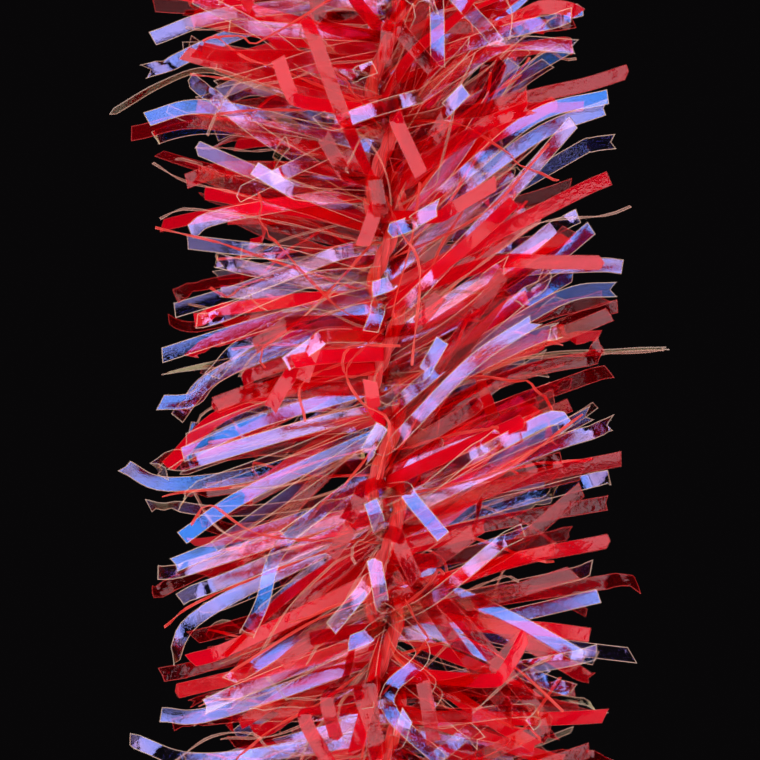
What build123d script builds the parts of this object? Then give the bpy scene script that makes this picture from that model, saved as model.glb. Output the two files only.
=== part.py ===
"""Red and pearl tinsel chenille: a length of the twisted, film-piled strand that dresses lures.

Two core threads are twisted round each other. Cut ribbons of slit film cross the core between
them, and the twist grips each ribbon at its middle, so both of its ends stand out as pile.
Where ribbons cross the core they lie in a flat stack, red and pearl by turns, with a few fine
fibres on the outside of the stack. Away from the core the stack opens like a fan.

The strand hangs along -Z from the origin, at the top of the bare tag of core. The pile leans,
up on its +X side and down on its -X side. Millimetres.
"""

import os
from math import cos, degrees, radians, sin

from build123d import *

os.makedirs("parts", exist_ok=True)

# Slit film, 1/64 inch wide and 1 mil thick, and the fine fibres slit from the same film
film_width = 0.4
film_thickness = 0.025
fibre_width = 0.075

# Twisted core
thread_diameter = 0.42
thread_offset = 0.38  # from the core's axis to the middle of each thread
twist_pitch = 5.4

# Strand, from the top down
tag_length = 4.0  # bare core, stripped for tying in
pile_turns = 6
stub_length = 1.0  # bare core left below the last ribbon

# Pile
stations_per_turn = 10  # stacks of ribbons in one turn of the twist
stations_per_section = 5  # half a turn of the twist
ribbon_reach = 6.5  # mean length from the core to a ribbon's tip
reach_spread = 0.7
pile_lean = 24.0  # degrees
lean_spread = 5.0
fibre_lean_spread = 23.0
stack_gap = 0.005  # between neighbouring ribbons in a stack
curl_radius = 42.0  # bend of the ribbon next to the middle of a stack

# Places in a stack, counted from its middle
red_layers = (-3, -1, 1, 3)
pearl_layers = (-2, 0, 2)
red_fibre_layer = 4
clear_fibre_layer = -4

station_spacing = twist_pitch / stations_per_turn
station_count = pile_turns * stations_per_turn
strand_length = tag_length + pile_turns * twist_pitch + stub_length
golden_step = 0.618034  # spreads a run of numbers evenly between 0 and 1


def scatter(number, spread):
    """A repeatable value between -spread and +spread, different for each whole number."""
    return spread * (2 * (number * golden_step % 1) - 1)


def stack_plane(station, lean_scatter):
    """X runs along a ribbon through the core, Y through the stack, Z across the ribbon."""
    height = -tag_length - (station + 0.5) * station_spacing
    thread_angle = radians(360 * (height + strand_length) / twist_pitch)
    azimuth = thread_angle + radians(90)
    lean = radians(pile_lean * cos(azimuth) + lean_scatter)
    along = (cos(azimuth) * cos(lean), sin(azimuth) * cos(lean), sin(lean))
    across = (-sin(lean) * cos(azimuth), -sin(lean) * sin(azimuth), cos(lean))
    return Plane(origin=(0, 0, height), x_dir=along, z_dir=across)


def strip(station, layer, width, lean_spread):
    """One strip of film in the open part, bent away from the middle of its stack."""
    number = station * 9 + layer
    left = ribbon_reach + scatter(number, reach_spread)
    right = ribbon_reach + scatter(number + 4, reach_spread)
    side = layer * (film_thickness + stack_gap)
    with BuildSketch(stack_plane(station, scatter(number + 2, lean_spread))) as profile:
        with BuildLine():
            if layer == 0:
                Polyline(
                    (-left, -film_thickness / 2),
                    (right, -film_thickness / 2),
                    (right, film_thickness / 2),
                    (-left, film_thickness / 2),
                    close=True,
                )
            else:
                bend = curl_radius / layer
                middle = (0, side + bend)
                start = (-90 if bend > 0 else 90) - degrees(left / bend)
                sweep_angle = degrees((left + right) / bend)
                near = CenterArc(middle, abs(bend) - film_thickness / 2, start, sweep_angle)
                far = CenterArc(middle, abs(bend) + film_thickness / 2, start, sweep_angle)
                Line(near @ 0, far @ 0)
                Line(near @ 1, far @ 1)
        make_face()
    extrude(profile.sketch, amount=width / 2, both=True)


def core_thread(name, side):
    """One core thread, a helix that starts on the given side of the axis, cut flat at both ends."""
    overrun = 0.5
    start = Plane(origin=(0, 0, -strand_length - overrun), x_dir=(side, 0, 0), z_dir=(0, 0, 1))
    start = start.rotated((0, 0, -360 * overrun / twist_pitch))
    with BuildPart() as thread:
        with BuildLine(start) as path:
            Helix(twist_pitch, strand_length + 2 * overrun, thread_offset)
        with BuildSketch(Plane(origin=path.line @ 0, z_dir=path.line % 0)):
            Circle(thread_diameter / 2)
        sweep(is_frenet=True)
        with BuildSketch(Plane.XY.offset(-strand_length)):
            Circle(thread_offset + thread_diameter)
        extrude(amount=strand_length, mode=Mode.INTERSECT)
    thread.part.label = name
    export_step(thread.part, f"parts/{name}.step")


def film_section(name, section, layers):
    """The ribbons of one colour in half a turn of the twist, which reach all round the core."""
    first = section * stations_per_section
    with BuildPart() as film:
        for station in range(first, first + stations_per_section):
            for layer in layers:
                strip(station, layer, film_width, lean_spread)
    film.part.label = name
    export_step(film.part, f"parts/{name}.step")


def fibres(name, layer):
    """The fine fibres of one colour, one in each stack over the whole length of the pile."""
    with BuildPart() as bundle:
        for station in range(station_count):
            strip(station, layer, fibre_width, fibre_lean_spread)
    bundle.part.label = name
    export_step(bundle.part, f"parts/{name}.step")


core_thread("core_thread_a", 1)
core_thread("core_thread_b", -1)
for section in range(station_count // stations_per_section):
    film_section(f"red_film_{section + 1:02d}", section, red_layers)
    film_section(f"pearl_film_{section + 1:02d}", section, pearl_layers)
fibres("red_fibres", red_fibre_layer)
fibres("clear_fibres", clear_fibre_layer)
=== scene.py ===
"""Red and pearl tinsel chenille, looked at level from the -Y side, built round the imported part."""

import math

import bpy
import numpy as np
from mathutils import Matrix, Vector


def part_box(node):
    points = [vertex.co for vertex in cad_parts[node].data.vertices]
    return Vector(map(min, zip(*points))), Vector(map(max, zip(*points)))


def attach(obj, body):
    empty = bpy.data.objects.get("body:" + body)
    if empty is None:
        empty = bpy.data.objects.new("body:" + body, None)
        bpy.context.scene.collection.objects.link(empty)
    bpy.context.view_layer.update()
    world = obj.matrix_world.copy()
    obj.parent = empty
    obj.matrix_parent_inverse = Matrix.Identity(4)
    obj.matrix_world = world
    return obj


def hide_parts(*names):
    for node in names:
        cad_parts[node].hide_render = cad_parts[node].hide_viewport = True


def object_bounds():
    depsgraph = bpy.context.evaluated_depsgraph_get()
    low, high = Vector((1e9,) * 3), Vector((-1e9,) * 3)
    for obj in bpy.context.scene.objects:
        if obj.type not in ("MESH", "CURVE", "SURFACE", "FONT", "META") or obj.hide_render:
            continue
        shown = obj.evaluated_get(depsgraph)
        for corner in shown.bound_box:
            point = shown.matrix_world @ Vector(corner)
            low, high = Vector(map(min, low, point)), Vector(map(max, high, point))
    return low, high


MM = 0.001
SEED = 20261

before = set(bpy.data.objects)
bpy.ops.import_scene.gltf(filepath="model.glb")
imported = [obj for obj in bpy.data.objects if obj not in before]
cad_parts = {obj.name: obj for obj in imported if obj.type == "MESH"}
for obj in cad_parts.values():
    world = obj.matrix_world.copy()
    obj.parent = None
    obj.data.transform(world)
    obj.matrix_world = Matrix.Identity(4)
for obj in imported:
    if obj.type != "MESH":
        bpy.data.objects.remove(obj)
cad_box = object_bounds()

# ---------------------------------------------------------------- sizes, in millimetres
FILM_WIDTH = 0.4
FILM_THICKNESS = 0.025
FIBRE_WIDTH = 0.075
RIM = 0.02  # burred edge that the slitting knife left
SECTIONS = 12
RED_PER_SECTION = 20
PEARL_PER_SECTION = 15
FIBRES = 60
STEP = 0.22  # between the points of a ribbon

core_low, core_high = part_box("core_thread_a")
CORE_RADIUS = core_high.x / MM
CORE_BOTTOM = core_low.z / MM


def middle_height(node):
    """Height in mm of the middle of a CAD node."""
    low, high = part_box(node)
    return (low.z + high.z) / 2 / MM


first_section = middle_height("red_film_01")
last_section = middle_height(f"red_film_{SECTIONS:02d}")
SECTION_HEIGHT = (first_section - last_section) / (SECTIONS - 1)
VIEW_HEIGHT = (first_section + last_section) / 2
FRAME_SIDE = 20.5  # of the strand, seen by the camera


# ---------------------------------------------------------------- mesh helpers
def unit(v):
    return v / np.linalg.norm(v)


def turned(v, axis, angle):
    """v turned about a unit axis."""
    c, s = math.cos(angle), math.sin(angle)
    return v * c + np.cross(axis, v) * s + axis * (axis @ v) * (1 - c)


def set_uvs(mesh, name, uvs):
    """Gives each corner of the mesh the uv of its vertex."""
    corner = np.empty(len(mesh.loops), np.int32)
    mesh.loops.foreach_get("vertex_index", corner)
    mesh.uv_layers.new(name=name).data.foreach_set("uv", np.array(uvs)[corner].ravel())
    mesh.update()


def new_object(name, data):
    thing = bpy.data.objects.new(name, data)
    bpy.context.scene.collection.objects.link(thing)
    return thing


class Strips:
    """Collects ribbons of film as closed thin solids, and makes one mesh of them."""

    def __init__(self):
        self.points, self.faces, self.kinds = [], [], []
        self.tints, self.uvs = [], []

    def add(self, centres, along, across, width, thickness, gutter, cuts, notches, tint):
        """centres, along and across run from tip to tip; cuts and notches shape the two ends."""
        base = len(self.points)
        share = 1 - 2 * RIM / width
        columns = (-1.0, -share, 0.0, share, 1.0)
        near, far = centres[0] + along[0] * RIM, centres[-1] - along[-1] * RIM
        centres = [centres[0], near, *centres[1:-1], far, centres[-1]]
        along = [along[0], *along, along[-1]]
        across = [across[0], *across, across[-1]]
        count = len(centres)
        run = 0.0
        for i in range(count):
            if i:
                run += np.linalg.norm(centres[i] - centres[i - 1])
            normal = unit(np.cross(along[i], across[i]))
            slant = cuts[0] if i < 2 else cuts[1] if i > count - 3 else 0.0
            notch = notches[0] if i < 2 else -notches[1] if i > count - 3 else 0.0
            for x in columns:
                middle = centres[i] + across[i] * x * width / 2
                middle = middle + along[i] * (slant * x + notch * (1 - x * x)) * width / 2
                middle = middle + normal * gutter * (0.5 - x * x)
                for side in (0.5, -0.5):
                    self.points.append(middle + normal * side * thickness)
                    self.uvs.append((run, x * width / 2))
                    self.tints.append(tint)
        self.close(base, count, len(columns))

    def close(self, base, rings, columns):
        """The faces of one ribbon; those of its rim take the edge material."""
        ring = 2 * columns
        for i in range(rings - 1):
            a, b = base + i * ring, base + (i + 1) * ring
            for c in range(columns - 1):
                rim = int(i in (0, rings - 2) or c in (0, columns - 2))
                self.face(a + 2 * c, a + 2 * c + 2, b + 2 * c + 2, b + 2 * c, rim)
                self.face(a + 2 * c + 1, b + 2 * c + 1, b + 2 * c + 3, a + 2 * c + 3, rim)
            self.face(a, b, b + 1, a + 1, 1)
            self.face(a + ring - 2, a + ring - 1, b + ring - 1, b + ring - 2, 1)
        end = base + (rings - 1) * ring
        for c in range(columns - 1):
            self.face(base + 2 * c, base + 2 * c + 1, base + 2 * c + 3, base + 2 * c + 2, 1)
            self.face(end + 2 * c, end + 2 * c + 2, end + 2 * c + 3, end + 2 * c + 1, 1)

    def face(self, a, b, c, d, kind):
        self.faces.append((a, b, c, d))
        self.kinds.append(kind)

    def build(self, name, materials):
        mesh = bpy.data.meshes.new(name)
        mesh.from_pydata((np.array(self.points) * MM).tolist(), [], self.faces)
        for material in materials:
            mesh.materials.append(material)
        mesh.polygons.foreach_set("material_index", self.kinds)
        mesh.polygons.foreach_set("use_smooth", [True] * len(self.kinds))
        tint = mesh.attributes.new("tint", "FLOAT", "POINT")
        tint.data.foreach_set("value", self.tints)
        set_uvs(mesh, "film", self.uvs)
        mesh.set_sharp_from_angle(angle=math.radians(35))
        return new_object(name, mesh)


# ---------------------------------------------------------------- ends of ribbons at random
CRUMPLED = 0.3  # share of the ends at random whose tip is crumpled
CREASED = 0.22  # share with a sharp crease
CURLED = 0.16  # share with a curled tip
CURLED_TIP = 0.14  # share of an end's length that a curled tip takes
RIPPLE = 0.035  # spread of the ripple's turns in radians
RIPPLE_PHASE = 9  # radians of ripple along an end
REACH = 5.7  # mean length of an end
REACH_SPREAD = 0.5
REACH_LIMITS = (4.5, 6.8)
CORE_GRIP = 0.16  # how far from the core's axis a ribbon may cross it
SIDEWAYS = 0.72  # share of the ribbons at random that stand out sideways
TRIES = 4  # places tried for a red ribbon at random


def crinkle(centres, along, across, start, rng):
    """Crumples the outer part of an end, from the given share of its length."""
    first = max(int(len(centres) * start), 1)
    step = np.linalg.norm(centres[1] - centres[0])
    for i in range(first, len(centres)):
        along[i] = unit(turned(along[i - 1], across[i - 1], rng.normal(0, 0.45)))
        across[i] = turned(across[i - 1], along[i], rng.normal(0, 0.35))
        across[i] = unit(across[i] - along[i] * (across[i] @ along[i]))
        centres[i] = centres[i - 1] + along[i] * step


def half(root, azimuth, lean, reach, bend, roll, twist, crease, tip_curl, rng):
    """One end of a ribbon, from the core out: its centres, directions and widths."""
    ca, sa, cl, sl = math.cos(azimuth), math.sin(azimuth), math.cos(lean), math.sin(lean)
    d = np.array((ca * cl, sa * cl, sl))
    w = turned(np.array((-sl * ca, -sl * sa, cl)), d, roll)
    p = np.array(root, float)
    steps = max(8, round(reach / STEP))
    ds = reach / steps
    centres, along, across = [p.copy()], [d.copy()], [w.copy()]
    ripple_phase, ripple = rng.uniform(0, 6.28), rng.normal(0, RIPPLE)
    for i in range(1, steps + 1):
        s = i / steps
        turn = bend * 2 * s / steps
        turn += ripple * math.sin(ripple_phase + RIPPLE_PHASE * s)
        if crease is not None and abs(s - crease[0]) < 0.6 / steps:
            turn += crease[1]
        if tip_curl and s > 1 - CURLED_TIP:
            turn += tip_curl / (CURLED_TIP * steps + 1)
        d = unit(turned(d, w, turn))
        w = turned(w, d, twist / steps)
        w = unit(w - d * (w @ d))
        p = p + d * ds
        centres.append(p.copy())
        along.append(d.copy())
        across.append(w.copy())
    if rng.random() < CRUMPLED:
        crinkle(centres, along, across, rng.uniform(0.72, 0.9), rng)
    return centres, along, across


# Height in mm above the middle of the view, and the pile's lean there in degrees on the -X and +X sides
LEAN = np.array(
    (
        (-16, -22, 25),
        (-8, -20, -14),
        (-5, -26, 20),
        (0, -26, 34),
        (3, -8, 44),
        (6, 14, 42),
        (9, 2, 28),
        (16, -10, 28),
    )
)


def lean_at(height, azimuth, rng, spread):
    """Lean in radians: mostly up on the +X side and down on the -X side, with stretches combed back."""
    z = height - VIEW_HEIGHT
    minus = np.interp(z, LEAN[:, 0], LEAN[:, 1])
    plus = np.interp(z, LEAN[:, 0], LEAN[:, 2])
    share = 0.5 + 0.5 * math.tanh(2.2 * math.cos(azimuth))
    return math.radians(minus + (plus - minus) * share + rng.normal(0, spread))


def random_end(root, azimuth, rng, fine):
    """An end at random; fine fibres stray, bend and twist more than film."""
    crease = None
    if rng.random() < CREASED:
        crease = (rng.uniform(0.35, 0.85), math.radians(rng.normal(0, 38)))
    tip_curl = math.radians(rng.normal(0, 70)) if rng.random() < CURLED else 0.0
    return half(
        root,
        azimuth,
        lean_at(root[2], azimuth, rng, 24 if fine else 12),
        np.clip(rng.normal(REACH, REACH_SPREAD), *REACH_LIMITS),
        math.radians(rng.normal(0, 60 if fine else 17)),
        math.radians(rng.normal(0, 12)),
        math.radians(rng.normal(0, 600 if fine else 38)),
        crease,
        tip_curl,
        rng,
    )


# ---------------------------------------------------------------- listed ends
# The way a ribbon faces: "left", "right" and "top" mirror the lamp on that side to the front, "dull"
# faces the front, "dim" faces down and mirrors little, "edge" is seen on its edge, and "spun" twists
# as a fine fibre does. Each is a direction (x, y, z) that the flat of the ribbon turns towards.
FACINGS = {
    "left": (-0.27, -0.95, 0.12),
    "right": (0.27, -0.95, 0.12),
    "top": (0.0, -0.82, 0.57),
    "dull": (0.0, -1.0, 0.0),
    "spun": (0.0, -1.0, 0.0),
    "dim": (-0.1, -0.72, -0.69),
    "edge": (0.0, 0.25, 1.0),
}
FACING_SPREAD = 0.1
FIBRE_SPIN = 0.5  # radians from one point of a "spun" fibre to the next
PLACED_CRUMPLED = 0.4  # share of the placed ends whose tip is crumpled
PLACED_CRUMPLE_START = 0.88  # as a share of the end's length
FRONT = -3.5  # y in mm; ends whose tips lie in front of this stay flat


def curve_through(knots):
    """Points about STEP apart on a smooth curve through the knots."""
    knots = [2 * knots[0] - knots[1], *knots, 2 * knots[-1] - knots[-2]]
    centres = []
    for a, b, c, d in zip(knots, knots[1:], knots[2:], knots[3:]):
        count = max(3, round(np.linalg.norm(c - b) / STEP))
        for t in np.arange(count) / count:
            square = (2 * a - 5 * b + 4 * c - d) * t**2
            cube = (3 * b - a - 3 * c + d) * t**3
            centres.append(0.5 * (2 * b + (c - a) * t + square + cube))
    centres.append(knots[-2])
    return centres


def placed(points, facing, rng):
    """One end of a ribbon through points (x, z, y), from the core to the tip, turned to face a way."""
    centres = curve_through([np.array((x, y, VIEW_HEIGHT + z)) for x, z, y in points])
    wanted = unit(np.array(FACINGS[facing]) + rng.normal(0, FACING_SPREAD, 3))
    along, across = [], []
    for i, centre in enumerate(centres):
        d = unit(centres[min(i + 1, len(centres) - 1)] - centres[max(i - 1, 0)])
        along.append(d)
        across.append(unit(np.cross(wanted, d)))
    for i in range(1, len(across)):
        if across[i] @ across[i - 1] < 0:
            across[i] = -across[i]
    if facing == "spun":
        across = [turned(w, d, FIBRE_SPIN * i) for i, (w, d) in enumerate(zip(across, along))]
    elif points[-1][2] > FRONT and rng.random() < PLACED_CRUMPLED:
        crinkle(centres, along, across, PLACED_CRUMPLE_START, rng)
    return centres, along, across


# ---------------------------------------------------------------- whole ribbons
def whole(strips, ends, width, gutter, cuts, notches, tint):
    """Joins two ends at the core and adds the ribbon."""
    (ca, da, wa), (cb, db, wb) = ends
    if wa[0] @ wb[0] < 0:
        wa = [-w for w in wa]
    centres = ca[:0:-1] + cb
    along = [-d for d in da[:0:-1]] + db
    middle = unit(db[0] - da[0])
    across = wa[:0:-1] + wb
    along[len(ca) - 1] = middle
    w = unit(wa[0] + wb[0])
    across[len(ca) - 1] = unit(w - middle * (w @ middle))
    strips.add(centres, along, across, width, FILM_THICKNESS, gutter, cuts, notches, tint)


def blunt(rng):
    """Slants and notches of a ribbon's two cut ends."""
    return rng.normal(0, 0.3, 2), rng.normal(0, 0.5, 2) * (rng.random(2) < 0.35)


def covered(ends, shown):
    """How many points of the shown ribbons these two ends would hide from the front."""
    near_core = 5
    points = np.array(ends[0][0][near_core:] + ends[1][0][near_core:])
    apart = points[:, None, :] - shown[None]
    over = (apart[..., 0] ** 2 + apart[..., 2] ** 2 < 0.3**2) & (apart[..., 1] < 0)
    return over.any(0).sum()


def random_ends(height, rng, fine):
    """Both ends of a ribbon at random; the listed ones fill the front, so most point sideways."""
    azimuth = rng.uniform(0, 2 * math.pi)
    other = azimuth + math.pi + rng.normal(0, 0.35)
    if rng.random() < SIDEWAYS:
        azimuth = rng.normal(0.2, 0.75)
        other = math.pi - rng.normal(0.2, 0.75)
    offset = rng.uniform(-CORE_GRIP, CORE_GRIP)
    root = (-math.sin(azimuth) * offset, math.cos(azimuth) * offset, height)
    return random_end(root, azimuth, rng, fine), random_end(root, other, rng, fine)


def random_ribbon(strips, height, rng, width, shown):
    """A ribbon at random. Of a few tries, it keeps the one that hides least of the shown ribbons."""
    fine = width < FILM_WIDTH
    if shown is None:
        ends = random_ends(height, rng, fine)
    else:
        tries = [random_ends(height, rng, fine) for _ in range(TRIES)]
        ends = min(tries, key=lambda pair: covered(pair, shown))
    whole(strips, ends, width, rng.normal(0, 0.012), *blunt(rng), rng.random())


def placed_ribbon(strips, points, facing, rng, width):
    """A ribbon with one end through listed points and the other at random, away from it."""
    end = placed(points, facing, rng)
    root, ahead = end[0][0], end[1][0]
    other = math.atan2(-ahead[1], -ahead[0]) + rng.normal(0, 0.25)
    if math.sin(other) < -0.3:  # towards the front, where it would hide placed ends
        other = -other
    far = random_end(root, other, rng, width < FILM_WIDTH)
    whole(strips, (far, end), width, rng.normal(0, 0.006), *blunt(rng), rng.random())


# ---------------------------------------------------------------- materials
class Shading:
    """A new node material, and short ways to make and join its nodes."""

    def __init__(self, name):
        self.material = bpy.data.materials.new(name)
        self.material.use_nodes = True
        self.tree = self.material.node_tree
        self.tree.nodes.clear()

    def node(self, kind, sockets, output=0, **settings):
        """An output of a new node, whose sockets hold values or follow other outputs."""
        node = self.tree.nodes.new("ShaderNode" + kind)
        for name, value in settings.items():
            setattr(node, name, value)
        for socket, value in sockets.items():
            if isinstance(value, bpy.types.NodeSocket):
                self.tree.links.new(value, node.inputs[socket])
            else:
                node.inputs[socket].default_value = value
        return node.outputs[output] if node.outputs else None

    def ramp(self, value, stops):
        """A colour that follows a value through stops of (position, colour)."""
        node = self.tree.nodes.new("ShaderNodeValToRGB")
        elements = node.color_ramp.elements
        elements[0].position, elements[0].color = stops[0]
        elements[1].position, elements[1].color = stops[-1]
        for position, colour in stops[1:-1]:
            elements.new(position).color = colour
        self.tree.links.new(value, node.inputs["Fac"])
        return node.outputs["Color"]

    def mix(self, share, first, second):
        """Two shaders mixed; share is that of the second."""
        return self.node("MixShader", {0: share, 1: first, 2: second})

    def film_uv(self):
        return self.node("UVMap", {}, uv_map="film")

    def film_tint(self):
        """A number from 0 to 1 that each ribbon has of its own."""
        return self.node("Attribute", {}, "Fac", attribute_name="tint")

    def facing(self):
        """0 where the film is seen flat, 1 where it is seen on its edge."""
        return self.node("LayerWeight", {"Blend": 0.5}, "Facing")

    def crinkle(self, scale):
        """Fine crinkle of rolled film, as a normal."""
        noise = self.node("TexNoise", {"Vector": self.film_uv(), "Scale": scale, "Detail": 3}, "Fac")
        return self.node("Bump", {"Strength": 0.5, "Distance": 0.02 * MM, "Height": noise})

    def finished(self, shader):
        self.node("OutputMaterial", {"Surface": shader})
        return self.material


def red_film():
    """Clear dyed film: it tints what is behind it, glows a little and mirrors the lights weakly."""
    shading = Shading("red_film")
    tint = shading.film_tint()
    dye = shading.ramp(tint, ((0, (0.86, 0.0, 0.022, 1)), (1, (1.0, 0.002, 0.040, 1))))
    front = shading.node("BsdfDiffuse", {"Color": dye})
    through = shading.node("BsdfTranslucent", {"Color": dye})
    glow = shading.mix(0.5, front, through)
    clear = shading.node("BsdfTransparent", {"Color": (0.95, 0.10, 0.19, 1)})
    body = shading.node("MapRange", {"Value": tint, "From Min": 0.38, "To Min": 0.02, "To Max": 0.50})
    film = shading.mix(body, clear, glow)
    gloss = {"Roughness": 0.06, "Color": (1.0, 0.78, 0.84, 1), "Normal": shading.crinkle(6.0)}
    shine = shading.node("BsdfGlossy", gloss)
    stops = [(at, (share, share, share, 1)) for at, share in ((0, 0.034), (0.75, 0.035), (1, 0.14))]
    mirror = shading.ramp(shading.facing(), stops)
    return shading.finished(shading.mix(mirror, film, shine))


def pearl_film():
    """Clear iridescent film: its mirror colour shifts from blue through violet to pale olive."""
    shading = Shading("pearl_film")
    drift = shading.node("TexNoise", {"Vector": shading.film_uv(), "Scale": 0.45, "Detail": 1}, "Fac")
    shift = shading.node("Math", {0: drift, 1: 0.22, 2: shading.facing()}, operation="MULTIPLY_ADD")
    phase = shading.node("Math", {0: shading.film_tint(), 1: 0.22, 2: shift}, operation="MULTIPLY_ADD")
    interference = shading.ramp(
        phase,
        (
            (0.15, (0.009, 0.042, 0.165, 1)),
            (0.26, (0.040, 0.052, 0.165, 1)),
            (0.38, (0.090, 0.070, 0.165, 1)),
            (0.55, (0.034, 0.024, 0.090, 1)),
            (0.75, (0.064, 0.048, 0.044, 1)),
            (1.0, (0.095, 0.085, 0.055, 1)),
        ),
    )
    gloss = {"Roughness": 0.06, "Color": interference, "Normal": shading.crinkle(5.0)}
    shine = shading.node("BsdfGlossy", gloss)
    clear = shading.node("BsdfTransparent", {"Color": (0.98, 0.87, 0.78, 1)})
    return shading.finished(shading.node("AddShader", {0: clear, 1: shine}))


def edge(name, colour, cover):
    """Cut edges, which scatter the light; cover is the share of it that they stop."""
    shading = Shading(name)
    body = shading.node("BsdfPrincipled", {"Base Color": colour, "Roughness": 0.3})
    clear = shading.node("BsdfTransparent", {})
    return shading.finished(shading.mix(cover, clear, body))


def thread():
    """Spun red polyester: dull filaments that run along each ply."""
    shading = Shading("core_thread")
    uv = shading.node("UVMap", {}, uv_map="ply")
    stretched = shading.node("Mapping", {"Vector": uv, "Scale": (1.2, 16.0, 1.0)})
    filaments = shading.node("TexNoise", {"Vector": stretched, "Scale": 1.0, "Detail": 2}, "Fac")
    colour = shading.ramp(filaments, ((0.3, (0.30, 0.003, 0.008, 1)), (0.7, (0.75, 0.03, 0.035, 1))))
    bump = shading.node("Bump", {"Strength": 0.6, "Distance": 0.02 * MM, "Height": filaments})
    body = {"Base Color": colour, "Roughness": 0.55, "Sheen Weight": 0.3, "Normal": bump}
    return shading.finished(shading.node("BsdfPrincipled", body))


red = [red_film(), edge("red_edge", (0.90, 0.06, 0.06, 1), 0.2)]
# The clear film's cut edges: a cut edge does scatter light, but their near-white colour is a painted glint
# and their peach tint is painted red light from the red ribbons around them.
pearl = [pearl_film(), edge("clear_edge_painted_glint", (1.0, 0.72, 0.60, 1), 0.24)]
red_fine = [
    edge("red_fine", (0.70, 0.03, 0.03, 1), 0.6),
    edge("red_fine_edge", (0.8, 0.07, 0.05, 1), 0.6),
]
clear_fine = [
    edge("clear_fine", (0.7, 0.4, 0.34, 1), 0.1),
    edge("clear_fine_edge", (0.95, 0.5, 0.4, 1), 0.24),
]


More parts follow.
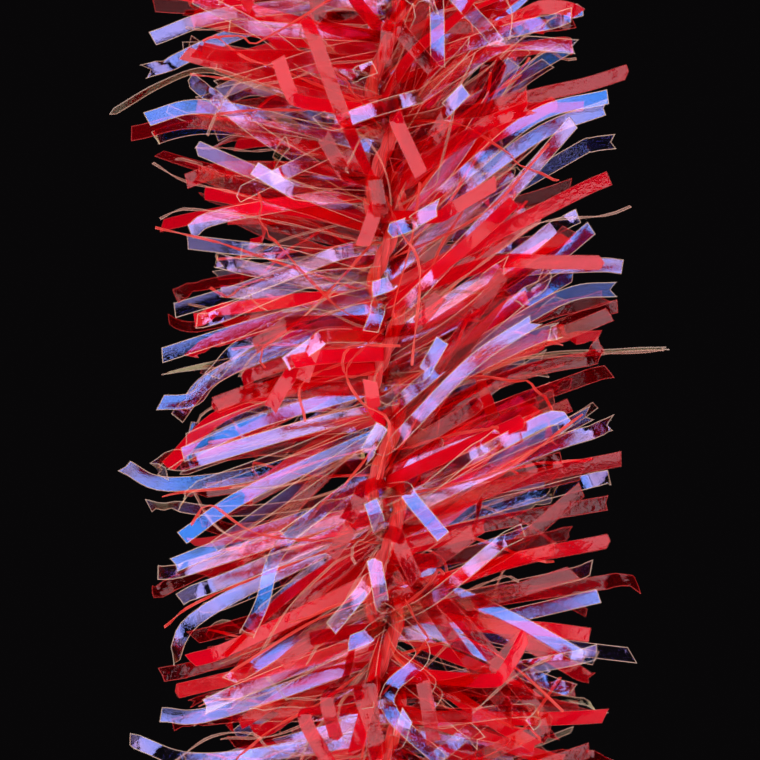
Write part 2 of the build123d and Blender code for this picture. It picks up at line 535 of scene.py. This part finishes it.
# ---------------------------------------------------------------- the ribbons that stand out
# Each is the way that it faces and its points (x, z, y) in mm, from the core to the tip. Here z is
# measured from the middle of the view.
PLACED_PEARL = (
    # -X side, from the top down
    ("right", ((0, 10.3, 0), (-4.2, 9.8, -1.2), (-6.2, 9.1, -1.9))),
    ("dull", ((0, 7.9, 0), (-1.8, 8.3, -1.2), (-3.3, 9.3, -2.0), (-5.1, 10.2, -2.5))),
    ("dull", ((0, 10.6, 0), (-3.9, 9.4, 0.2), (-6.5, 8.2, 0.4))),
    ("edge", ((0, 6.8, 0), (-3.4, 7.9, -1.0), (-4.8, 8.3, -1.2), (-6.0, 7.9, -1.4), (-7.2, 7.2, -1.4))),
    ("right", ((0, 6.2, 0), (-3.5, 7.1, -1.2), (-5.1, 7.3, -1.6), (-6.35, 6.95, -1.9))),
    ("right", ((0, 4.7, 0), (-3.2, 6.5, -1.5), (-5.2, 8.1, -2.2))),
    ("dull", ((0, 6.0, 0), (-4.4, 6.8, -0.5), (-6.7, 6.4, -0.6))),
    ("right", ((0, 4.2, 0), (-3.2, 5.4, -2.5), (-4.9, 6.1, -3.6))),
    ("right", ((0, 6.9, 0), (-2.4, 5.6, -3.5), (-3.8, 4.9, -3.8))),
    ("right", ((0, 7.4, 0), (0.9, 7.5, -3.2), (-0.4, 7.1, -3.6), (-1.4, 6.75, -3.9), (-1.75, 7.0, -3.9))),
    ("dull", ((0, 5.2, 0), (-4.3, 4.4, -1.5), (-5.2, 3.95, -1.8))),
    ("right", ((0, 2.3, 0), (-3.3, 2.9, -2.2), (-4.75, 3.25, -3.0))),
    ("right", ((0, 2.6, 0), (-2.6, 3.3, -3.2), (-3.8, 3.4, -3.5))),
    ("right", ((0, 3.6, -0.1), (-1.2, 3.4, -1.6), (-3.5, 2.5, -2.1), (-5.6, 1.85, -2.2))),
    ("right", ((0, 2.9, 0), (-0.6, 2.8, -1.5), (-2.2, 2.6, -2.4), (-5.05, 1.4, -3.0))),
    ("right", ((0, 2.4, 0), (-1.2, 2.1, -1.1), (-3.6, 1.4, -2.2), (-5.9, 0.65, -3.1))),
    ("dull", ((0, 2.6, 0), (-3.5, 1.1, -2.1), (-4.6, 0.1, -2.5))),
    ("right", ((0, 2.2, 0), (-4.2, 0.3, -1.1), (-5.1, -0.5, -1.5), (-6.0, -0.6, -1.8))),
    ("dull", ((0, 1.8, 0), (-4.4, 0.2, -0.8), (-5.5, -1.1, -1.0))),
    ("dull", ((0, -0.1, 0), (-3.4, -1.1, -1.5), (-5.4, -2.0, -1.9))),
    ("dim", ((0, 0.3, 0), (-3.4, -0.8, -1.8), (-5.3, -1.6, -2.2))),
    ("dim", ((0, -0.6, 0), (-4.6, -1.9, -1.1), (-5.7, -2.0, -1.5), (-6.1, -2.3, -1.9), (-5.8, -2.5, -2.1))),
    ("right", ((0, -0.8, 0), (-0.6, -0.9, -0.8), (-2.6, -1.4, -1.8), (-5.9, -2.4, -2.9))),
    ("dim", ((0, -1.1, 0), (-0.6, -1.1, -1.0), (-2.5, -1.9, -2.0), (-5.8, -3.1, -3.2))),
    ("right", ((0, -1.3, 0), (-3.0, -2.4, -0.2), (-5.8, -2.8, -0.6), (-7.0, -2.3, -1.0))),
    ("dim", ((0, -2.6, 0), (-2.0, -3.3, -0.8), (-4.5, -3.5, -1.5), (-6.3, -3.2, -1.8))),
    ("right", ((0, -1.4, 0), (-3.6, -3.0, -1.8), (-5.4, -4.2, -2.4))),
    ("dim", ((0, -1.3, -0.1), (-1.0, -1.95, -2.0), (-4.5, -4.4, -3.5))),
    ("right", ((0, -3.3, 0), (-4.0, -4.6, -2.0), (-5.9, -5.2, -2.8))),
    ("right", ((0, -3.6, 0), (-3.9, -5.2, -1.9), (-5.3, -5.7, -2.6))),
    ("dull", ((0, -3.0, 0), (-4.0, -4.3, -2.2), (-5.6, -4.9, -3.0))),
    ("dull", ((0, -3.8, 0), (-4.8, -6.2, -1.1), (-5.6, -7.4, -1.4))),
    ("right", ((0, -2.2, 0), (-2.65, -4.3, -1.8), (-3.3, -6.0, -2.1), (-3.9, -7.2, -2.1))),
    ("right", ((0, -5.6, 0), (-2.05, -6.7, -2.5), (-4.2, -8.0, -3.4))),
    ("right", ((0, -6.8, 0), (-3.5, -8.1, -2.5), (-4.8, -8.65, -3.2))),
    ("dull", ((0, -7.4, 0), (-4.5, -8.9, -1.1), (-6.0, -8.95, -1.4))),
    ("dull", ((0, -9.6, 0), (-4.8, -10.2, -0.8), (-6.8, -9.65, -1.0))),
    # +X side, from the top down
    ("left", ((0, 11.5, 0), (1.2, 11.1, -3.2), (1.35, 9.9, -4.2), (1.38, 8.25, -4.4))),
    ("left", ((0, 12.4, 0), (1.7, 10.3, -3.5), (3.0, 8.9, -3.4))),
    ("left", ((0, 7.0, 0), (2.2, 8.4, -1.5), (3.3, 8.95, -2.0), (5.1, 8.85, -2.5))),
    ("dull", ((0, 8.3, 0), (3.3, 9.3, -1.8), (4.9, 9.6, -2.2))),
    ("dull", ((0, 3.5, 0), (1.1, 4.9, -1.5), (2.2, 6.4, -2.5), (3.4, 8.4, -3.2))),
    ("left", ((0, 3.6, 0), (1.9, 5.3, -2.2), (4.0, 7.0, -2.6), (5.9, 7.5, -3.0))),
    ("left", ((0, 3.4, 0), (2.2, 5.2, -1.8), (4.2, 6.6, -2.2), (5.9, 7.25, -2.6))),
    ("left", ((0, 1.7, 0), (0.8, 2.25, -1.6), (3.5, 5.15, -2.2), (5.0, 6.85, -2.5))),
    ("dull", ((0, 3.2, 0), (4.9, 6.0, -0.8), (5.5, 6.3, -0.9), (6.2, 6.4, -0.9))),
    ("left", ((0, 1.0, 0), (3.5, 3.3, -1.1), (4.35, 3.95, -1.4), (5.15, 4.5, -1.6))),
    ("left", ((0, 0.6, 0), (3.4, 2.4, -1.2), (4.6, 3.3, -1.6), (5.5, 4.05, -2.0))),
    ("left", ((0, 2.0, 0.2), (3.0, 2.9, 0.4), (5.6, 3.1, 0.0), (6.4, 3.05, -0.2))),
    ("dull", ((0, -0.6, 0), (3.6, 1.6, -2.0), (5.0, 2.3, -2.6), (6.15, 2.4, -3.0))),
    ("left", ((0, -1.0, 0), (0.6, -0.4, -1.6), (2.6, 1.3, -2.2), (4.5, 2.9, -2.6))),
    ("left", ((0, -1.9, 0), (0.4, -1.5, -2.4), (2.3, 0.45, -2.9), (4.0, 1.6, -3.3))),
    ("dull", ((0, -0.9, 0), (3.9, 1.1, -2.2), (5.1, 1.3, -2.9))),
    ("edge", ((0, -1.2, 0), (3.4, 0.5, -0.5), (6.3, 0.8, -0.6), (7.6, 0.85, -0.6))),
    ("left", ((0, -3.6, 0), (1.1, -2.9, -2.9), (2.9, -1.4, -3.4))),
    ("left", ((0, -3.9, 0), (1.7, -2.95, -0.8), (4.4, -1.75, -1.6), (6.2, -1.2, -2.2))),
    ("left", ((0, -3.2, 0), (2.6, -1.9, -3.0), (4.4, -1.0, -3.6), (4.8, -1.3, -3.7))),
    ("dull", ((0, -4.2, 0), (3.6, -3.2, -1.0), (5.5, -2.7, -1.2), (6.1, -2.65, -1.4))),
    ("left", ((0, -6.5, 0), (1.3, -5.75, -2.8), (3.75, -3.7, -3.4))),
    ("left", ((0, -6.3, 0), (4.6, -5.3, -1.5), (5.5, -5.0, -1.9))),
    ("left", ((0, -6.9, 0), (1.8, -6.7, -0.6), (3.7, -6.25, -1.2), (5.7, -5.75, -2.0))),
    ("left", ((0, -5.3, 0), (1.8, -5.7, -1.0), (3.6, -6.5, -1.6), (5.3, -7.4, -2.4))),
    ("dull", ((0, -6.0, 0), (3.0, -6.9, -0.2), (5.0, -7.2, -0.5), (6.65, -7.4, -0.6))),
    ("dull", ((0, -6.2, 0), (2.4, -7.2, -0.9), (4.0, -7.95, -1.2), (5.0, -8.3, -1.5))),
    ("dull", ((0, -6.2, 0), (1.0, -7.2, -3.2), (0.15, -8.1, -4.0), (0.2, -8.8, -4.3), (1.5, -10.0, -4.5))),
)
PLACED_RED = (
    # -X side, from the top down
    ("dull", ((0, 5.8, 0), (-4.6, 6.9, -0.9), (-6.8, 6.6, -1.1))),
    ("top", ((0, 4.6, 0), (-1.1, 7.0, -2.5), (-2.1, 9.6, -3.2))),
    ("right", ((0, 4.0, 0), (-3.4, 5.0, -2.2), (-5.0, 5.5, -3.1))),
    ("dull", ((0, 0.6, 0), (-4.1, -0.8, -1.2), (-5.8, -2.3, -1.5))),
    ("right", ((0, 0.6, 0), (-2.6, 0.0, -3.0), (-4.2, -0.6, -3.5))),
    ("dull", ((0, -3.5, 0), (-4.4, -4.9, -0.8), (-6.1, -5.7, -1.0))),
    ("dull", ((0, -5.2, 0), (-4.0, -7.1, -1.4), (-5.2, -7.5, -1.6))),
    ("dull", ((0, -6.0, 0), (-4.7, -7.6, -0.9), (-6.0, -7.9, -1.1))),
    # +X side, from the top down
    ("dull", ((0, 8.0, 0), (3.5, 9.65, -1.5), (4.4, 9.95, -1.8), (5.75, 9.7, -2.0))),
    ("left", ((0, 5.8, 0), (3.0, 7.3, -1.0), (5.4, 7.9, -1.6), (6.4, 8.2, -2.0))),
    ("left", ((0, 5.0, 0), (2.6, 6.7, -3.5), (3.9, 7.2, -4.0))),
    ("dull", ((0, 2.4, 0), (4.9, 4.9, -1.1), (6.0, 5.4, -1.4))),
    ("left", ((0, 1.8, 0), (2.2, 3.6, -3.0), (3.4, 4.7, -4.0))),
    ("dull", ((0, 0.6, 0), (3.8, 3.0, -2.0), (4.9, 4.0, -2.5))),
    ("left", ((0, 2.2, 0), (2.8, 3.1, -2.0), (4.4, 3.12, -2.8), (5.65, 3.1, -3.2))),
    ("left", ((0, -1.4, 0), (1.4, 0.35, -2.0), (3.1, 2.8, -3.6))),
    ("left", ((0, -1.7, 0), (1.5, 0.05, -1.9), (3.3, 2.5, -3.4))),
    ("dull", ((0, -0.7, 0), (3.6, 1.5, -1.5), (5.9, 2.2, -2.0))),
    ("dull", ((0, -0.9, 0), (3.0, 0.6, -0.9), (4.9, 1.3, -1.2), (6.0, 1.75, -1.5))),
    ("left", ((0, -1.5, 0), (3.4, 0.1, -1.1), (5.6, 0.6, -2.0), (6.25, 0.75, -2.2))),
    ("dull", ((0, -2.2, 0), (3.0, -0.8, -1.1), (4.9, -0.1, -1.6), (6.1, 0.35, -1.9))),
    ("left", ((0, -2.2, 0), (0.6, -1.8, -1.8), (2.8, -0.45, -3.4))),
    ("left", ((0, -2.8, 0), (1.0, -2.3, -1.5), (3.6, -1.1, -3.6))),
    ("left", ((0, -3.1, 0), (1.0, -2.6, -1.4), (3.6, -1.45, -3.5))),
    ("left", ((0, -4.3, 0), (2.9, -2.85, -2.2), (4.5, -2.0, -3.2))),
    ("left", ((0, -4.0, 0), (3.6, -2.7, -0.9), (6.3, -2.1, -1.8))),
    ("left", ((0, -6.0, 0), (3.0, -4.7, -2.2), (5.2, -2.9, -3.1))),
    ("dull", ((0, -4.5, 0), (3.2, -3.8, -0.3), (6.0, -3.3, -0.6))),
    ("left", ((0, -6.1, 0), (3.2, -4.9, -1.1), (5.9, -4.3, -2.0))),
    ("left", ((0, -6.4, 0), (3.4, -5.8, -1.0), (6.1, -5.35, -1.9), (6.7, -5.2, -2.1))),
    ("left", ((0, -6.6, 0), (3.2, -5.7, -2.0), (5.0, -5.1, -2.8))),
    ("dull", ((0, -6.2, 0), (2.6, -6.6, -0.3), (4.3, -6.7, -0.6), (5.5, -6.85, -0.8))),
    ("left", ((0, -5.6, 0), (2.4, -6.3, -1.2), (4.3, -7.3, -2.1), (5.5, -8.0, -2.6))),
    ("left", ((0, -4.3, 0), (0.9, -5.6, -2.0), (1.9, -7.0, -3.1), (3.7, -9.35, -3.1))),
    ("left", ((0, -4.9, 0), (1.6, -6.0, -1.2), (2.9, -7.4, -2.0), (4.4, -9.2, -2.8))),
    ("left", ((0, -8.5, 0), (2.4, -7.9, -3.2), (3.7, -6.7, -3.6))),
    ("left", ((0, -11.2, 0), (1.6, -10.5, -2.0), (4.3, -9.1, -3.2))),
    ("left", ((0, -11.8, 0), (3.0, -10.7, -1.8), (5.4, -9.8, -3.0))),
)
# Short flat cards seen where an end comes towards the front and bends over: the middle's x and z in
# mm, the direction in degrees and the length in mm
PEARL_CARDS = (
    (-0.2, -5.2, 100, 0.9),
    (-1.0, -6.0, 230, 1.3),
    (-0.7, -6.8, 200, 0.5),
    (-0.25, -1.5, 60, 0.7),
    (-0.3, 1.5, 250, 0.5),
    (-0.1, 2.45, 200, 0.5),
    (0.4, 4.0, 200, 0.5),
    (1.1, 4.35, 30, 0.7),
    (-0.3, -3.4, 110, 0.5),
    (1.3, 0.7, 60, 0.8),
    (1.1, -3.6, -50, 1.3),
    (1.9, 7.4, 45, 0.6),
    (-2.2, -3.8, 215, 1.1),
    (-2.2, 0.7, 215, 1.0),
    (-0.5, 8.1, 20, 0.5),
    (0.5, -9.0, 70, 0.5),
    (-3.0, 5.3, 150, 1.0),
)
RED_CARDS = (
    (-4.9, 5.4, 200, 0.8),
    (-2.65, 8.0, 110, 0.9),
    (0.05, 8.9, 85, 0.9),
    (-1.8, 10.0, 100, 0.9),
    (-1.5, 8.0, 110, 2.0),
    (-0.45, 3.9, 250, 0.8),
    (-0.2, 4.85, 100, 0.8),
    (-3.1, 1.1, 215, 0.8),
    (-2.0, 0.45, 250, 1.0),
    (-4.1, -0.5, 200, 0.8),
    (-2.8, -0.4, 240, 0.9),
    (-0.35, -0.3, 100, 0.6),
    (-0.85, -3.4, 240, 0.7),
    (-1.2, -4.3, 235, 0.8),
    (-1.4, 6.0, 120, 0.9),
    (-2.4, -7.2, 220, 0.8),
    (0.85, 8.6, -50, 1.3),
    (0.65, 6.0, -65, 1.4),
    (1.45, 6.65, 60, 0.5),
    (3.3, 7.35, 20, 0.9),
    (2.3, 4.8, 30, 1.4),
    (1.2, 1.9, 50, 0.8),
    (0.6, -4.8, -65, 1.0),
    (-0.3, -9.2, -85, 2.0),
    (1.15, -8.8, -80, 1.4),
    (3.4, -7.2, 60, 1.1),
    (-1.7, -9.6, -60, 1.5),
    (-0.4, -8.9, -70, 1.3),
    (-1.4, -8.9, -75, 0.9),
    (1.9, -4.3, 35, 1.0),
)


def card(x, z, turn, length):
    """How a card faces, and its ribbon's points, as in the lists above."""
    along_x, along_z = math.cos(math.radians(turn)), math.sin(math.radians(turn))
    round_of_pile = math.sqrt(33.0 - x * x)
    depth = min(4.7, round_of_pile - length / 2)
    start = (x - along_x * length / 2, z - along_z * length / 2, -depth)
    elbow = (x * 0.85 - along_x * length / 2, start[1] - 0.3 * along_z, 0.6 - depth)
    end = (x + along_x * length / 2, z + along_z * length / 2, -depth - 0.28 * abs(along_x) * length)
    return "left" if along_x > 0 else "right", ((0, z - 0.8 * along_z, 0), elbow, start, end)


PLACED_CLEAR_FIBRES = (
    ("spun", ((0, 3.8, 0), (-3.6, 4.9, -1.2), (-5.3, 5.3, -1.5), (-6.2, 5.8, -1.6))),
    ("spun", ((0, 3.6, 0), (-3.2, 4.3, -1.5), (-5.1, 4.55, -1.8), (-5.6, 4.5, -1.8), (-6.0, 4.3, -1.8))),
    (
        "spun",
        ((0, -10.2, 0), (-2.8, -9.9, -2.2), (-3.5, -9.4, -2.5), (-4.6, -9.45, -2.8), (-5.7, -10.2, -2.8)),
    ),
    ("spun", ((0, 1.2, 0), (3.0, 3.4, -3.0), (4.1, 4.15, -3.5), (5.8, 4.35, -3.0), (6.5, 4.6, -3.0))),
    ("spun", ((0, -8.6, 0), (1.6, -9.2, -3.2), (3.4, -7.8, -3.8), (4.4, -7.3, -3.8))),
    ("spun", ((0, 0.9, 0), (3.0, 0.6, -0.3), (6.2, 0.72, -0.3), (7.5, 0.8, -0.3))),
)
PLACED_RED_FIBRES = (
    ("spun", ((0, 2.2, 0), (-3.8, 3.45, -2.0), (-4.6, 3.7, -2.2), (-6.1, 4.05, -2.5))),
    ("spun", ((0, 7.2, 0), (-2.8, 8.2, -3.4), (-3.7, 8.5, -3.6), (-4.5, 9.1, -3.6))),
    ("spun", ((0, 0.3, 0), (-1.0, 0.1, -3.4), (-0.95, 0.85, -3.8), (0.4, 0.9, -3.9))),
    ("spun", ((0, 1.4, 0), (-1.0, 0.3, -4.6), (-0.6, -0.6, -5.0), (0.1, -1.1, -5.1), (-0.2, -2.6, -5.0))),
    ("spun", ((0, 0.8, 0), (-2.1, 0.0, -4.2), (-2.1, -1.1, -4.5))),
    ("spun", ((0, -4.0, 0), (-4.7, -5.8, -1.2), (-5.9, -6.6, -1.5))),
    ("spun", ((0, 5.0, 0), (0.4, 3.9, -4.6), (0.9, 2.9, -4.9), (0.7, 0.4, -4.9))),
    ("spun", ((0, -4.4, 0), (-3.2, -4.1, -3.4), (-4.6, -3.3, -3.6), (-5.1, -3.8, -3.6))),
    ("spun", ((0, 3.2, 0), (2.6, 4.4, -3.8), (4.3, 6.2, -4.0))),
    ("spun", ((0, -3.2, 0), (3.0, -2.4, -3.6), (5.2, -0.9, -3.8))),
)


# ---------------------------------------------------------------- the pile
# Points of the long lit pearl ribbons, which red ribbons at random keep clear of
SHOWN = np.array(
    [
        point
        for facing, points in PLACED_PEARL
        if facing in ("left", "right") and abs(points[-1][0]) > 3.4
        for point in placed(points, "dull", np.random.default_rng(SEED))[0][6:]
    ]
)


def fill(strips, placed_list, top, span, count, width, shown=None):
    """Puts count ribbons on a length of core: the listed ones there, and the rest at random."""
    rest = count
    for facing, points in placed_list:
        if top - span <= VIEW_HEIGHT + points[0][1] < top:
            placed_ribbon(strips, points, facing, rng, width)
            rest -= 1
    for i in range(rest):
        random_ribbon(strips, top - span * (i + rng.random()) / rest, rng, width, shown)


def stand_in(piece, node):
    """The piece rides on the body and stands for a CAD node."""
    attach(piece, "root")
    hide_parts(node)


rng = np.random.default_rng(SEED)
pile_top = first_section + SECTION_HEIGHT / 2
placed_red = PLACED_RED + tuple(card(*row) for row in RED_CARDS)
placed_pearl = PLACED_PEARL + tuple(card(*row) for row in PEARL_CARDS)

for section in range(SECTIONS):
    top = pile_top - section * SECTION_HEIGHT
    for colour, count, placed_list, materials, shown in (
        ("red", RED_PER_SECTION, placed_red, red, SHOWN),
        ("pearl", PEARL_PER_SECTION, placed_pearl, pearl, None),
    ):
        strips = Strips()
        fill(strips, placed_list, top, SECTION_HEIGHT, count, FILM_WIDTH, shown)
        piece = strips.build(f"{colour}_ribbons_{section + 1:02d}", materials)
        stand_in(piece, f"{colour}_film_{section + 1:02d}")

for name, placed_list, materials, slot in (
    ("red_fibres", PLACED_RED_FIBRES, red_fine, "red_film"),
    ("clear_fibres", PLACED_CLEAR_FIBRES, clear_fine, "pearl_film"),
):
    strips = Strips()
    fill(strips, placed_list, pile_top, SECTIONS * SECTION_HEIGHT, FIBRES, FIBRE_WIDTH)
    stand_in(strips.build(f"fine_{name}", materials), name)

# ---------------------------------------------------------------- the core
THREAD_RADIUS = 0.21
THREAD_OFFSET = CORE_RADIUS - THREAD_RADIUS
THREAD_STEP = 0.09
TWIST_PITCH = 2 * SECTION_HEIGHT
PLIES = 3
PLY_RADIUS = 0.115
PLY_OFFSET = 0.095
PLY_PITCH = 1.3
SIDES = 10


def thread_path(start, height):
    """Centres, outward and sideways directions of a core thread, along the CAD thread's helix."""
    angle = start + 2 * math.pi * height / TWIST_PITCH
    zero = np.zeros(len(height))
    outward = np.stack((np.cos(angle), np.sin(angle), zero), 1)
    centre = outward * THREAD_OFFSET + np.stack((zero, zero, CORE_BOTTOM + height), 1)
    ahead = np.gradient(centre, axis=0)
    ahead /= np.linalg.norm(ahead, axis=1)[:, None]
    return centre, outward, np.cross(ahead, outward)


def tube_faces(base, rings):
    """Faces of a tube of SIDES sides, closed at both ends."""
    faces = []
    for i in range(rings - 1):
        for k in range(SIDES):
            a, b = base + i * SIDES + k, base + i * SIDES + (k + 1) % SIDES
            faces.append((a, b, b + SIDES, a + SIDES))
    faces.append([base + k for k in range(SIDES)][::-1])
    faces.append([base + (rings - 1) * SIDES + k for k in range(SIDES)])
    return faces


def twisted_thread(name, start, material):
    """One core thread: three plies laid up left-handed round its path."""
    count = round(-CORE_BOTTOM / THREAD_STEP) + 1
    height = np.linspace(0, -CORE_BOTTOM, count)
    centre, outward, aside = thread_path(start, height)
    points, faces, uvs = [], [], []
    for ply in range(PLIES):
        turn = 2 * math.pi * (ply / PLIES - height / PLY_PITCH)
        middle = centre + PLY_OFFSET * (np.cos(turn)[:, None] * outward + np.sin(turn)[:, None] * aside)
        faces += tube_faces(len(points), count)
        for i in range(count):
            for k in range(SIDES):
                a = 2 * math.pi * k / SIDES
                points.append(middle[i] + PLY_RADIUS * (math.cos(a) * outward[i] + math.sin(a) * aside[i]))
                uvs.append((height[i] + 50 * ply, k / SIDES))
    mesh = bpy.data.meshes.new(name)
    mesh.from_pydata((np.array(points) * MM).tolist(), [], faces)
    mesh.materials.append(material)
    mesh.polygons.foreach_set("use_smooth", [len(face) == 4 for face in faces])
    set_uvs(mesh, "ply", uvs)
    return new_object(name, mesh)


thread_material = thread()
for letter, start in (("a", 0.0), ("b", math.pi)):
    piece = twisted_thread(f"twisted_thread_{letter}", start, thread_material)
    stand_in(piece, f"core_thread_{letter}")


# ---------------------------------------------------------------- floor, lights, camera
# Place and height above the view's middle in mm, side in mm, power in W, and whether films mirror it
LIGHTS = (
    ("front_left", (-95, -150, 30), 130, 0.17, True),
    ("front_right", (95, -150, 30), 130, 0.17, True),
    ("top_front", (0, -90, 160), 120, 0.12, True),
    ("side_left", (-170, -50, -40), 110, 0.09, True),
    ("side_right", (170, -50, 40), 110, 0.09, True),
    ("back", (0, 170, 60), 140, 0.10, True),
    ("fill_left", (-170, -60, 0), 220, 0.19, False),
    ("fill_right", (170, -60, 0), 220, 0.19, False),
)
DISTANCE = 160  # from the camera to the strand, in mm
CAMERA_OFFSET = 0.135  # to the left of the strand's axis, in mm
FLOOR_RADIUS = 110
FLOOR_GAP = 10  # below the strand


def area_light(name, place, side, power, mirrored):
    """A square lamp that shines at the middle of the view."""
    light = bpy.data.lights.new(name, "AREA")
    light.shape = "SQUARE"
    light.size = side * MM
    light.energy = power
    lamp = new_object(name, light)
    x, y, above = place
    lamp.location = (x * MM, y * MM, (VIEW_HEIGHT + above) * MM)
    lamp.rotation_euler = Vector((-x, -y, -above)).to_track_quat("-Z", "Y").to_euler()
    lamp.visible_glossy = mirrored


for light in LIGHTS:
    area_light(*light)

world = bpy.data.worlds.new("studio")
bpy.context.scene.world = world
world.use_nodes = True
world.node_tree.nodes["Background"].inputs["Color"].default_value = (0.0025, 0.0022, 0.0025, 1)

floor_mesh = bpy.data.meshes.new("floor")
angles = np.linspace(0, 2 * math.pi, 96, False)
rim = [(FLOOR_RADIUS * MM * math.cos(a), FLOOR_RADIUS * MM * math.sin(a), 0) for a in angles]
floor_mesh.from_pydata(rim, [], [list(range(len(rim)))])
floor = new_object("floor", floor_mesh)
floor.location.z = cad_box[0][2] - FLOOR_GAP * MM
matt = Shading("floor")
floor_mesh.materials.append(matt.finished(matt.node("BsdfDiffuse", {"Color": (0.75, 0.75, 0.74, 1)})))

camera_data = bpy.data.cameras.new("camera")
camera = new_object("camera", camera_data)
bpy.context.scene.camera = camera
camera.location = (-CAMERA_OFFSET * MM, -DISTANCE * MM, VIEW_HEIGHT * MM)
camera.rotation_euler = (math.radians(90), 0, 0)
camera_data.sensor_width = 36
camera_data.lens = camera_data.sensor_width * DISTANCE / FRAME_SIDE
camera_data.clip_start = 0.01

bpy.context.scene.view_settings.view_transform = "Standard"
